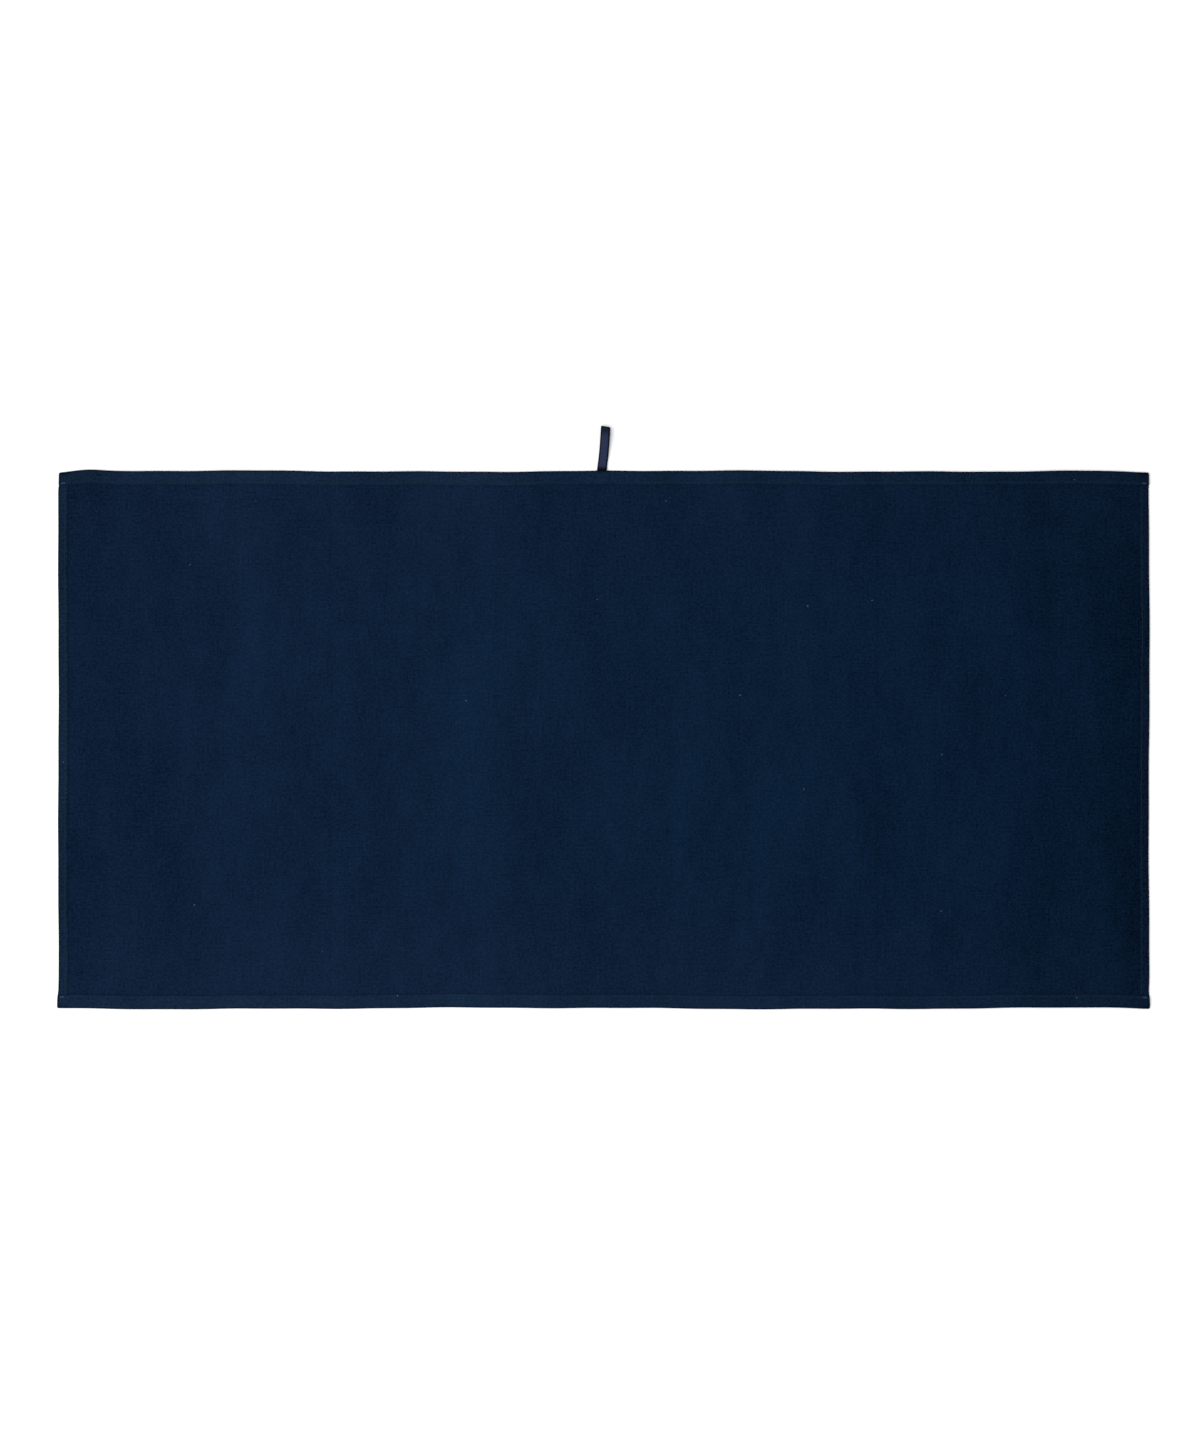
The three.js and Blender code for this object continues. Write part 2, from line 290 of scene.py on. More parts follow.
def pressed(sizes, points):
    """The hems as they are pressed flat and sewn down.

    Heights shrink where the layers of a corner pile up, and towards each outer edge by a fifth. Along each
    seam a bell-shaped groove is drawn into the upper side and the underside.
    """
    x, y, z = points[..., 0], points[..., 1], points[..., 2]
    from_side = HALF_LENGTH - np.abs(x)
    from_end = HALF_WIDTH - np.abs(y - MIDDLE_Y)
    pad, lift = corner_pad(sizes, x), loop_lift(sizes, x, y)
    in_end = 1 - smooth(sizes.end_hem, sizes.end_hem + 2.5 * MM, from_end)
    full = 3 * sizes.cloth + 3 * pad + lift
    flat = 3 * sizes.cloth + pad + lift
    taper = 1
    for depth, inward in ((sizes.end_hem, from_end), (sizes.side_hem, from_side)):
        snug = 1 - PRESS * smooth(depth + 0.5 * MM, depth, inward)
        taper = taper * snug * (1 - EDGE_PRESS * np.clip(1 - inward / depth, 0, 1))
    z = z * (1 + in_end * (flat / full - 1)) * taper
    top = np.where(from_end < sizes.end_hem + 1 * MM, flat, 3 * sizes.cloth) * taper
    along_end = smooth(SEAM_REACH + 1 * MM, SEAM_REACH, np.abs(x))
    along_side = smooth(SIDE_SEAM_REACH + 1 * MM, SIDE_SEAM_REACH, np.abs(y - MIDDLE_Y))
    groove = along_end * (bump(TOP_SEAM, SEAM_GROOVE, y) + bump(BOTTOM_SEAM, SEAM_GROOVE, y))
    groove = groove + along_side * (bump(LEFT_SEAM, SEAM_GROOVE, x) + bump(RIGHT_SEAM, SEAM_GROOVE, x))
    share = np.clip(z / top, 0, 1)
    z = z + groove * (GROOVE_UNDER * (1 - share) - GROOVE_OVER * share)
    return np.stack([x, y, z], axis=-1)


def laid(sizes, points):
    """The towel as it lies: hems that stray a little, soft waves, pressed fold lines and one small wrinkle.

    Sideways moves are sums of sines along each edge that fade inwards. Heights are products of slow sines,
    zero on the fold lines, at the corners and at the loop, plus a short ridge.
    """
    x, y, z = points[..., 0], points[..., 1], points[..., 2]
    from_side = HALF_LENGTH - np.abs(x)
    from_end = HALF_WIDTH - np.abs(y - MIDDLE_Y)
    turn = 2 * math.pi
    top = 0.55 * np.sin(turn * x / 0.34 + 0.5) + 0.35 * np.sin(turn * x / 0.121 + 2.2)
    top = top + 0.14 * np.sin(turn * x / 0.047 + 1.0) - 1.5 * bump(HALF_LENGTH, 0.028, x)
    low = 0.7 * np.sin(turn * x / 0.45 + 2.6) + 0.4 * np.sin(turn * x / 0.143 + 0.3)
    low = low + 0.15 * np.sin(turn * x / 0.052 + 3.0)
    left = 0.3 * np.sin(turn * y / 0.21 + 1.0) + 0.12 * np.sin(turn * y / 0.06) - 1.1 * bump(BOTTOM_EDGE, 0.012, y)
    right = 0.45 * np.sin(turn * y / 0.26 + 0.4) + 0.15 * np.sin(turn * y / 0.07 + 1.5)
    top = top - 1.1 * bump(-HALF_LENGTH, 0.008, x) + 1.3 * bump(-HALF_LENGTH + 0.022, 0.012, x)
    low = low - 1.0 * bump(HALF_LENGTH, 0.012, x) + 0.6 * bump(HALF_LENGTH - 0.028, 0.014, x)
    hem_end = smooth(sizes.end_hem + 3 * MM, sizes.end_hem - 1 * MM, from_end)
    left = left + hem_end * np.where(y > MIDDLE_Y, 0.5, -0.5)
    right = right + hem_end * np.where(y > MIDDLE_Y, 0.4, 0.2) - 0.7 * bump(BOTTOM_EDGE + 0.014, 0.006, y)
    inward = smooth(0.06, 0, from_end) * sizes.waver
    dy = inward * np.where(y > MIDDLE_Y, top, low)
    sideways = smooth(0.05, 0, from_side) * sizes.waver
    dx = sideways * np.where(x < 0, left, right)

    calm = smooth(0, 0.05, np.abs(x - LEFT_FOLD)) * smooth(0, 0.05, np.abs(x - RIGHT_FOLD))
    loop = 1 - smooth(0.06, 0.015, np.hypot(x - LOOP_ROOT[0], np.minimum(y - TOP_EDGE, 0)))
    corner = smooth(0.01, 0.07, from_side + np.maximum(from_end, 0))
    bands = np.sin(turn * x / 0.145 + 1.3 + 0.6 * np.sin(turn * y / 0.5))
    bands = bands + 0.6 * np.sin(turn * x / 0.083 + 0.4 + 1.1 * y / 0.2)
    bands = bands + 0.45 * np.sin(turn * (x + 0.5 * y) / 0.21)
    waves = sizes.wave * (0.5 + 0.25 * bands).clip(0) * calm * loop * corner
    edge_calm = 0.35 + 0.65 * smooth(0, 0.05, np.minimum(from_end, from_side))
    crease = 0.28 * MM * (
        2 - np.exp(-np.abs(x - LEFT_FOLD) / (5 * MM)) - np.exp(-np.abs(x - RIGHT_FOLD) / (5 * MM))
    ) * smooth(0, 0.03, from_side) * loop
    along = (x - 0.2584) * 0.956 - (y + 0.1238) * 0.292
    across = (x - 0.2584) * 0.292 + (y + 0.1238) * 0.956
    wrinkle = 0.3 * MM * bump(0, 14 * MM, along) * bump(0, 5 * MM, across)
    pucker = 0.09 * MM * (1 + np.sin(turn * x / 0.0123 + 2 * np.sin(x / 0.031))) * bump(0, 6 * MM, from_end - 13 * MM)
    pucker = pucker * loop + 0.09 * MM * (1 + np.sin(turn * y / 0.0151)) * bump(0, 5 * MM, from_side - 10 * MM)
    return np.stack([x + dx, y + dy, z + waves * edge_calm + crease + wrinkle + pucker], axis=-1)


def sewn(sizes, x, y, upper):
    """Points on a hem's upper side, or on its underside, after it is pressed and laid."""
    z = hem_top(sizes, x, y) if upper else np.zeros_like(x)
    return laid(sizes, pressed(sizes, np.stack([x, y, z], axis=-1)))


# ---- Meshes ----


def make_piece(name, points, faces, corners, material):
    """A smooth-shaded piece from its points, one array of faces for each number of sides, and its corners' UVs."""
    mesh = bpy.data.meshes.new(name)
    sides = np.concatenate([np.full(len(f), f.shape[1]) for f in faces])
    loops = np.concatenate([f.ravel() for f in faces])
    used, loops = np.unique(loops, return_inverse=True)
    mesh.vertices.add(len(used))
    mesh.vertices.foreach_set("co", points[used].astype(np.float32).ravel())
    mesh.loops.add(len(loops))
    mesh.loops.foreach_set("vertex_index", loops.astype(np.int32).ravel())
    mesh.polygons.add(len(sides))
    mesh.polygons.foreach_set("loop_start", (np.cumsum(sides) - sides).astype(np.int32))
    uv = np.concatenate([c.reshape(-1, 2) for c in corners]).astype(np.float32)
    mesh.uv_layers.new(name="cut").data.foreach_set("uv", uv.ravel())
    mesh.update(calc_edges=True)
    mesh.validate()
    mesh.shade_smooth()
    mesh.set_sharp_from_angle(angle=math.radians(58))
    piece = bpy.data.objects.new(name, mesh)
    bpy.context.scene.collection.objects.link(piece)
    mesh.materials.append(material)
    return piece


def bend_at_fold(piece, side, width):
    """Bake a piece's transform into its mesh. The reach of the width on each side of the fold line is worked out, but
    the piece is not bent over it.
    """
    fold = LEFT_FOLD if side == "left" else RIGHT_FOLD
    reach = math.copysign(width / 2, fold)
    fold - reach
    fold + reach
    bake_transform(piece)


def cloth_faces(rows, columns, keep):
    """The quads of a closed cloth: both faces over the kept cells, and a wall along each open side of them.

    Point i, j of the upper face is number i * columns + j, and the underside's points follow in the same order.
    """
    point = np.arange(rows * columns).reshape(rows, columns)
    a, b, c, d = point[:-1, :-1], point[1:, :-1], point[1:, 1:], point[:-1, 1:]
    below = rows * columns
    upper = np.stack([a, b, c, d], axis=-1)[keep]
    wide = np.pad(keep, 1)
    walls = []
    for start, end, beyond in (
        (a, b, wide[1:-1, :-2]),
        (b, c, wide[2:, 1:-1]),
        (c, d, wide[1:-1, 2:]),
        (d, a, wide[:-2, 1:-1]),
    ):
        rim = keep & ~beyond
        p, q = start[rim], end[rim]
        walls.append(np.stack([q, p, p + below, q + below], axis=-1))
    return np.concatenate([upper, upper[:, ::-1] + below, *walls])


def tube_faces(rings, around):
    """The quads of a tube of rings that each have so many points, and the two faces that close its ends."""
    ring = np.arange(rings * around).reshape(rings, around)
    following = np.roll(ring, -1, axis=1)
    quads = np.stack([ring[:-1], following[:-1], following[1:], ring[1:]], axis=-1).reshape(-1, 4)
    return [quads, np.stack([ring[0, ::-1], ring[-1]])]


def tube_corners(along, around):
    """The UV of each corner of a tube: across is the distance round it, and along the distance on its path."""
    sides = len(around) - 1
    u0 = np.broadcast_to(around[None, :-1], (len(along) - 1, sides))
    u1 = np.broadcast_to(around[None, 1:], u0.shape)
    v0 = np.broadcast_to(along[:-1, None], u0.shape)
    v1 = np.broadcast_to(along[1:, None], u0.shape)
    quads = np.stack([u0, v0, u1, v0, u1, v1, u0, v1], axis=-1)
    caps = np.stack([
        np.stack([around[:-1][::-1], np.full(sides, along[0])], axis=-1),
        np.stack([around[:-1], np.full(sides, along[-1])], axis=-1),
    ])
    return [quads, caps]


def carried(path, sideways, profile):
    """A profile carried along a path: each profile point goes out along the sideways direction and the normal.

    The sideways direction is made square to the path, and the normal is the path's direction crossed with it.
    """
    ahead = np.gradient(path, axis=0)
    ahead = ahead / np.linalg.norm(ahead, axis=1, keepdims=True)
    across = sideways - (sideways * ahead).sum(axis=1, keepdims=True) * ahead
    across = across / np.linalg.norm(across, axis=1, keepdims=True)
    normal = np.cross(ahead, across)
    return path[:, None] + profile[..., 0:1] * across[:, None] + profile[..., 1:2] * normal[:, None]


def distance_along(path):
    """How far each point of a path is from its start, measured along the path."""
    return np.concatenate([[0], np.cumsum(np.linalg.norm(np.diff(path, axis=0), axis=1))])


def make_tube(name, path, sideways, profile, material, placed=None):
    """A closed tube piece whose profile is carried along a path. placed moves its rings afterwards."""
    rings = carried(path, sideways, profile)
    rings = placed(rings) if placed else rings
    around = distance_along(np.concatenate([profile[0], profile[0, :1]]))
    faces = tube_faces(len(path), profile.shape[1])
    corners = tube_corners(distance_along(path), around)
    return make_piece(name, rings.reshape(-1, 3), faces, corners, material)


# ---- Finishes ----


class Varying:
    """What a node gives out. Arithmetic on it adds Math nodes, so it is used only on plain numbers."""

    def __init__(self, finish, socket):
        self.finish, self.socket = finish, socket

    def __add__(self, other):
        return self.finish.maths("ADD", self, other)

    def __radd__(self, other):
        return self.finish.maths("ADD", other, self)

    def __sub__(self, other):
        return self.finish.maths("SUBTRACT", self, other)

    def __rsub__(self, other):
        return self.finish.maths("SUBTRACT", other, self)

    def __mul__(self, other):
        return self.finish.maths("MULTIPLY", self, other)

    def __rmul__(self, other):
        return self.finish.maths("MULTIPLY", other, self)

    def __truediv__(self, other):
        return self.finish.maths("DIVIDE", self, other)


class Finish:
    """A material's nodes, made one at a time from a node's type, its settings and what its sockets take."""

    def __init__(self, name):
        self.material = bpy.data.materials.new(name)
        self.material.use_nodes = True
        self.tree = self.material.node_tree
        self.tree.nodes.clear()

    def node(self, kind, settings=None, sockets=None, output=0):
        """A node with its settings made first, then its sockets fed with values or links."""
        made = self.tree.nodes.new(kind)
        for name, value in (settings or {}).items():
            setattr(made, name, value)
        for name, value in (sockets or {}).items():
            if isinstance(value, Varying):
                self.tree.links.new(value.socket, made.inputs[name])
            else:
                made.inputs[name].default_value = value
        return Varying(self, made.outputs[output]) if made.outputs else None

    def maths(self, operation, *values):
        """A Math node on one or two numbers."""
        return self.node("ShaderNodeMath", {"operation": operation}, dict(enumerate(values)))

    def steps(self, value, start, end, low=0.0, high=1.0):
        """The smoothstep of a number between start and end, as low to high."""
        settings = {"interpolation_type": "SMOOTHSTEP"}
        return self.node("ShaderNodeMapRange", settings, {0: value, 1: start, 2: end, 3: low, 4: high})

    def bell(self, value, centre, width):
        """e to the minus square of the distance from centre over width."""
        off = (value - centre) / width
        return self.maths("EXPONENT", off * off * -1)

    def noise(self, vector, detail=2.0, roughness=0.5):
        """Noise from 0 to 1 with a grain of about one unit of the vector."""
        sockets = {"Vector": vector, "Scale": 1.0, "Detail": detail, "Roughness": roughness}
        return self.node("ShaderNodeTexNoise", None, sockets)

    def scaled(self, vector, factors):
        """A vector with each part multiplied by its own factor."""
        return self.node("ShaderNodeVectorMath", {"operation": "MULTIPLY"}, {0: vector, 1: factors})

    def mixed(self, factor, first, second):
        """Two colours mixed by a factor."""
        return self.node("ShaderNodeMix", {"data_type": "RGBA"}, {0: factor, 6: first, 7: second}, output=2)

    def tinted(self, shade, tint):
        """A colour multiplied by a number, as a vector scaled by it."""
        return self.node("ShaderNodeVectorMath", {"operation": "SCALE"}, {0: tint, 3: shade})

    def cut(self):
        """The piece's own UV map in millimetres of its flat cut, and its two parts."""
        uv = self.node("ShaderNodeUVMap", {"uv_map": "cut"})
        place = self.scaled(uv, (1000.0, 1000.0, 0.0))
        parts = self.node("ShaderNodeSeparateXYZ", None, {0: place})
        return place, parts, Varying(self, parts.socket.node.outputs[1])

    def raised(self, height, strength=1.0):
        """The normal of a surface whose height is given in millimetres."""
        return self.node("ShaderNodeBump", None, {"Strength": strength, "Distance": MM, "Height": height})

    def done(self, sockets):
        """The finished material: a Principled shader with these sockets."""
        shader = self.node("ShaderNodeBsdfPrincipled", None, sockets)
        self.node("ShaderNodeOutputMaterial", None, {"Surface": shader})
        return self.material


def rgba(value):
    """A colour property as a shader's colour."""
    return (*value, 1.0)


def plain_weave(finish, u, v, pitch):
    """The height of a plain weave from 0 to 1: rounded warp and weft yarns that go over each other in turn.

    Over is the product of two sines of half the pitch, and each yarn is the absolute sine across it, weighted by
    how far it is on top.
    """
    turn_u, turn_v = u * (math.pi / pitch), v * (math.pi / pitch)
    over = finish.maths("SINE", turn_u + math.pi / 2) * finish.maths("SINE", turn_v + math.pi / 2)
    over = over * 0.5 + 0.5
    warp = finish.maths("ABSOLUTE", finish.maths("COSINE", turn_u))
    weft = finish.maths("ABSOLUTE", finish.maths("COSINE", turn_v))
    return warp * over + weft * (1 - over)


def stitch_tucks(finish, sizes, u, v, turn_u, turn_v):
    """The small tuck that each stitch draws across its seam: a sine along the seam within a bell across it."""
    cloth, tucks = sizes.cloth / MM, 0
    for from_middle, along, seam, edge, pitch in (
        (v, u, (TOP_SEAM - MIDDLE_Y) / MM, turn_v, sizes.end_stitch),
        (0 - v, u, (MIDDLE_Y - BOTTOM_SEAM) / MM, turn_v, sizes.end_stitch),
        (0 - u, v, -LEFT_SEAM / MM, turn_u, sizes.left_stitch),
        (u, v, RIGHT_SEAM / MM, turn_u, sizes.right_stitch),
    ):
        on_top_layer = 2 * edge + math.pi * cloth - seam
        wave = finish.maths("SINE", along * (2 * math.pi * MM / pitch))
        tucks = wave * finish.bell(from_middle, on_top_layer, 1.7) + tucks
    return tucks


def lint_on(finish, place):
    """Small round flecks of lint in a few of the cells of a Voronoi pattern, from 0 to 1."""
    sockets = {"Vector": finish.scaled(place, (0.02, 0.024, 1.0)), "Scale": 1.0}
    lint = finish.node("ShaderNodeTexVoronoi", {"feature": "F1", "voronoi_dimensions": "2D"}, sockets)
    chance = Varying(finish, lint.socket.node.outputs[1])
    chosen = finish.steps(finish.node("ShaderNodeSeparateColor", None, {0: chance}), 0.80, 1.0)
    return finish.steps(lint, 0.011, 0.003) * chosen


def cloth_finish(sizes, colours):
    """Navy cloth: a fine plain weave with slubs along the weft, soft mottling, pressed lines and a little lint, with
    light, shade and a sheen painted into its colour.
    """
    finish = Finish("navy_cloth")
    place, u, v = finish.cut()
    edge_u, edge_v = HALF_LENGTH / MM, HALF_WIDTH / MM
    cloth = sizes.cloth / MM
    reach_u, reach_v = finish.maths("ABSOLUTE", u), finish.maths("ABSOLUTE", v)

    # Yarns and slubs
    weave = plain_weave(finish, u, v, 0.5)
    slub = finish.noise(finish.scaled(place, (0.045, 1.5, 1.0)), 3.0, 0.6) - 0.5
    ribs = finish.noise(finish.scaled(place, (1.4, 0.05, 1.0)), 3.0, 0.6) - 0.5
    speck = finish.noise(finish.scaled(place, (0.55, 0.6, 1.0)), 2.0, 0.6) - 0.5
    mottle = finish.noise(finish.scaled(place, (0.024, 0.008, 1.0)), 4.0, 0.6) - 0.5
    blotch = finish.noise(finish.scaled(place, (0.10, 0.06, 1.0)), 3.0, 0.7) - 0.5
    shade = 1 + slub * 0.7 + ribs * 0.7 + speck * 1.85 + blotch * 0.5 + mottle * 0.8

    # Painted light and shade in broad soft bands, as on the soft waves, darkest towards the right end, away from the
    # light
    for centre, width, amount in (
        (-395, 60, -0.09), (-266, 16, 0.06), (-240, 50, 0.08), (-102, 36, 0.15), (220, 50, -0.08), (425, 120, -0.42)
    ):
        shade = shade + finish.bell(u, centre, width) * amount
    # A little lighter towards the bottom edge
    shade = shade + finish.steps(v, -120, -edge_v, 0, 0.1)

    # Turned hems show the cloth's paler side, with a painted dark line along each folded outer edge: the shade where
    # the fold turns down
    turn_u, turn_v = edge_u - 1.5 * cloth, edge_v - 1.5 * cloth
    turned = finish.maths(
        "MAXIMUM",
        finish.steps(reach_u, turn_u + 0.5 * cloth, turn_u + 3 * cloth),
        finish.steps(reach_v, turn_v + 0.5 * cloth, turn_v + 3 * cloth),
    )
    fold_shade_u = finish.bell(reach_u, turn_u + 0.45 * math.pi * cloth, 1.0)
    fold_shade_v = finish.bell(reach_v, turn_v + 0.45 * math.pi * cloth, 1.0)
    shade = shade * (1 - 0.95 * finish.maths("MAXIMUM", fold_shade_u, fold_shade_v))

    tucks = stitch_tucks(finish, sizes, u, v, turn_u, turn_v)
    # Painted light and shade on the stitch tucks, which also get a bump
    shade = shade * (1 + tucks * 0.12)

    # One small sharp wrinkle
    along = (u - 258.4) * 0.956 - (v + 105.3) * 0.292
    across = (u - 258.4) * 0.292 + (v + 105.3) * 0.956 + finish.maths("SINE", along * 0.25) * 0.5
    wrinkle = finish.bell(across, 0.0, 0.8) * finish.bell(along, 0.0, 11.0)

    # Painted shade along the pressed fold lines, and a fainter one along the middle towards the ends
    for centre, depth in ((LEFT_FOLD / MM, 0.08), (RIGHT_FOLD / MM, 0.08)):
        wander = finish.noise(finish.scaled(place, (0.0, 0.03, 0.0)), 2.0) * 3 - 1.5
        shade = shade * (1 - finish.bell(u + wander, centre, 1.3) * depth)
    middle = finish.bell(u, 1.6, 1.2) * finish.steps(reach_v, 60, 190, 0, 0.06)
    shade = shade * (1 - middle)
    # Painted shade in the hollows of the weave and along the wrinkle
    shade = shade * (1 - (1 - weave) * 0.45) * (1 - wrinkle * 0.2)

    fluff = lint_on(finish, place)

    # A painted sheen turns the cloth redder towards the left end, where the light comes from; it is also redder
    # towards the long edges, and its hue wanders at random
    worn = finish.steps(u, 400, -400, 0.25, 0.6) + finish.steps(reach_v, 90, edge_v, 0, 0.3)
    worn = worn + (finish.noise(finish.scaled(place, (0.35, 0.3, 1.0)), 2.0, 0.6) - 0.5) * 1.6
    cloth_dye_and_sheen = finish.mixed(finish.steps(worn, 0, 1), rgba(colours.cloth), rgba(colours.worn))
    # Painted light and shade on the hems: lit at the left end, shaded towards the right end
    hem_lit_and_shaded = finish.mixed(finish.steps(u, -400, 400), rgba(colours.hem), rgba(colours.dark_hem))
    dye = finish.mixed(turned, cloth_dye_and_sheen, hem_lit_and_shaded)
    colour_now = finish.mixed(fluff * 0.7, finish.tinted(shade, dye), rgba(colours.lint))

    height = weave * 0.10 + slub * 0.10 + speck * 0.12 + fluff * 0.15 + tucks * 0.07 + wrinkle * 0.35
    return finish.done({
        "Base Color": colour_now,
        "Roughness": 0.95,
        "Specular IOR Level": 0.0,
        "Sheen Weight": 0.08,
        "Sheen Roughness": 0.6,
        "Sheen Tint": (0.10, 0.30, 0.80, 1.0),
        "Normal": finish.raised(height, 0.8),
    })


def thread_finish(sizes, colours, name="navy_thread"):
    """Spun sewing thread: plies that twist round it, and a shade that wanders along it."""
    finish = Finish(name)
    dye = colours.tack if name == "piled_thread" else colours.thread
    place, round_it, along = finish.cut()
    plies = finish.maths("SINE", (along * 1.0 + round_it * 1.6) * (2 * math.pi / 0.55))
    fuzz = finish.noise(finish.scaled(place, (6.0, 2.5, 1.0)), 2.0) - 0.5
    shade = 1 + plies * 0.16 + fuzz * 0.5
    return finish.done({
        "Base Color": finish.tinted(shade, tuple(dye)),
        "Roughness": 0.85,
        "Specular IOR Level": 0.03,
        "Normal": finish.raised(plies * 0.03 + fuzz * 0.03, 0.8),
    })


def tape_finish(sizes, colours):
    """Woven tape: short ribs across it, a herringbone of fine yarns, and painted shade along its edges, at its bend
    and at its root.
    """
    finish = Finish("woven_tape")
    place, round_it, along = finish.cut()
    width = sizes.tape_width / MM
    ribs = finish.maths("SINE", along * (2 * math.pi / 0.62))
    yarns = finish.maths("SINE", round_it * (2 * math.pi / 0.5) + ribs * 0.8)
    fuzz = finish.noise(finish.scaled(place, (1.6, 0.8, 1.0)), 3.0, 0.7) - 0.5
    turn = 2 * (width + 0.35)
    over = finish.maths("WRAP", round_it, turn / 2, 0.0)
    from_edge = finish.maths("MINIMUM", over, turn / 2 - over)
    # Painted shade along the tape's rounded edges
    edge = finish.steps(from_edge, 1.7, 0.7)
    s, z = loop_line(sizes)
    gone = distance_along(np.stack([s, z], axis=-1)) / MM
    from_tip = finish.maths("ABSOLUTE", along - gone[-1] / 2)
    root = gone[-1] / 2 - gone[np.argmax(s > 0)]
    # Painted shade at the loop's bend and where the tape goes in under the hem
    tip_shade = finish.steps(from_tip, 4.0, 10.0, 0.45, 1.0)
    tip_end_shade = finish.steps(from_tip, 2.6, 1.2, 1.0, 0.25)
    root_shade = 1 - finish.bell(from_tip, root, 2.2) * 0.92
    shade = (1 + ribs * 0.14 + yarns * 0.1 + fuzz * 0.8) * (1 - edge * 0.92) * tip_shade * tip_end_shade * root_shade
    return finish.done({
        "Base Color": finish.tinted(shade, tuple(colours.tape)),
        "Roughness": 0.9,
        "Specular IOR Level": 0.02,
        "Normal": finish.raised(ribs * 0.05 + yarns * 0.035 + fuzz * 0.04, 0.8),
    })


def finish_named(name, make, *more):
    """The material of that name, made when it is first asked for."""
    scene = bpy.context.scene
    return bpy.data.materials.get(name) or make(scene.towel_sizes, scene.towel_colours, *more)


# ---- Pieces ----


class TowelCloth(bpy.types.Operator):
    """Make the hemmed cloth, in two lengths that meet between the fold lines"""

    bl_idname = "towel.cloth"
    bl_label = "Cloth"

    def execute(self, context):
        sizes = context.scene.towel_sizes
        material = finish_named("navy_cloth", cloth_finish)
        near = np.array([-2.1, -1.4, -0.7, 0, 0.7, 1.4, 2.1]) * MM / 1.2
        bend = np.concatenate([np.arange(1, 14) * 0.25, [3.8, 4.6, 6, 8]]) * MM
        bend = np.concatenate([-bend, [0], bend])
        fold_marks = np.concatenate([LEFT_FOLD + bend, RIGHT_FOLD + bend, [PARTING]])
        side_seams = np.concatenate([-LEFT_SEAM + near, RIGHT_SEAM + near])
        end_seams = np.concatenate([TOP_SEAM - MIDDLE_Y + near, MIDDLE_Y - BOTTOM_SEAM + near])
        tails = np.array([-6.6, -5.6, -4.6, -4, -3.6, 3.6, 4, 4.6, 5.6, 6.6]) * MM + LOOP_ROOT[0]
        ends = HALF_LENGTH - sizes.side_hem - np.array([0.1, 0.7, 1.3, 1.9, 2.5]) * MM
        across = np.concatenate([fold_marks, tails, ends, -ends])
        columns = Stations(HALF_LENGTH, sizes.side_hem, sizes.cloth, sizes.grid, across, side_seams)
        hem_line = HALF_WIDTH - sizes.end_hem - np.array([0.2, 1, 1.8, 2.6]) * MM
        rows = Stations(
            HALF_WIDTH, sizes.end_hem, sizes.cloth, 1.4 * sizes.grid, np.concatenate([hem_line, -hem_line]), end_seams
        )
        for side, kept in (("left", columns.flat <= PARTING + 1e-6), ("right", columns.flat >= PARTING - 1e-6)):
            self.length_of_cloth(sizes, side, columns.part(kept), rows, material)
        return {"FINISHED"}

    def length_of_cloth(self, sizes, side, columns, rows, material):
        """One closed length of the folded cloth, from its raw side edge to where the two lengths meet."""
        x, height, tilt_x, tilt_z = columns.turned()
        pad = corner_pad(sizes, x)[:, None]
        above_middle = (rows.flat > 0)[None, :] * np.ones((len(x), 1))
        lift = loop_lift(sizes, x[:, None], MIDDLE_Y + above_middle) * above_middle
        y, z, lean_y, lean_z = rows.turned(pad, lift)
        points = []
        half = (sizes.cloth - LAYER_GAP) / 2
        for offset in (half, -half):
            over = (height - sizes.cloth / 2 + offset * tilt_z)[:, None]
            across = np.broadcast_to((x + offset * tilt_x)[:, None], y.shape)
            flat = np.stack([across, MIDDLE_Y + y + over * lean_y, z + over * lean_z], axis=-1)
            points.append(laid(sizes, pressed(sizes, flat)).reshape(-1, 3))
        keep = np.ones((len(columns.flat) - 1, len(rows.flat) - 1), bool)
        half = sizes.tape_width / 2 + 0.15 * MM
        in_slit = np.abs((columns.flat[1:] + columns.flat[:-1]) / 2 - LOOP_ROOT[0]) < half
        share = rows.share[:-1]
        lips = (rows.stretch[:-1] == rows.OUTER) & (rows.flat[:-1] > 0) & (share > 0.05) & (share < 0.55)
        keep &= ~(in_slit[:, None] & lips[None, :])
        cut = np.stack(np.broadcast_arrays(columns.flat[:, None], rows.flat[None, :]), axis=-1).reshape(-1, 2)
        faces = cloth_faces(len(columns.flat), len(rows.flat), keep)
        corners = np.concatenate([cut, cut])[faces]
        piece = make_piece(f"cloth_{side}_length", np.concatenate(points), [faces], [corners], material)
        bend_at_fold(piece, side, sizes.fold)
        parts = ("cloth", "top_hem", "bottom_hem")
        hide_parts(f"{side}_hem", *(f"{part}_{where}" for part in parts for where in (side, "middle")))
        flat = (float(np.ptp(columns.flat)), float(np.ptp(rows.flat)))


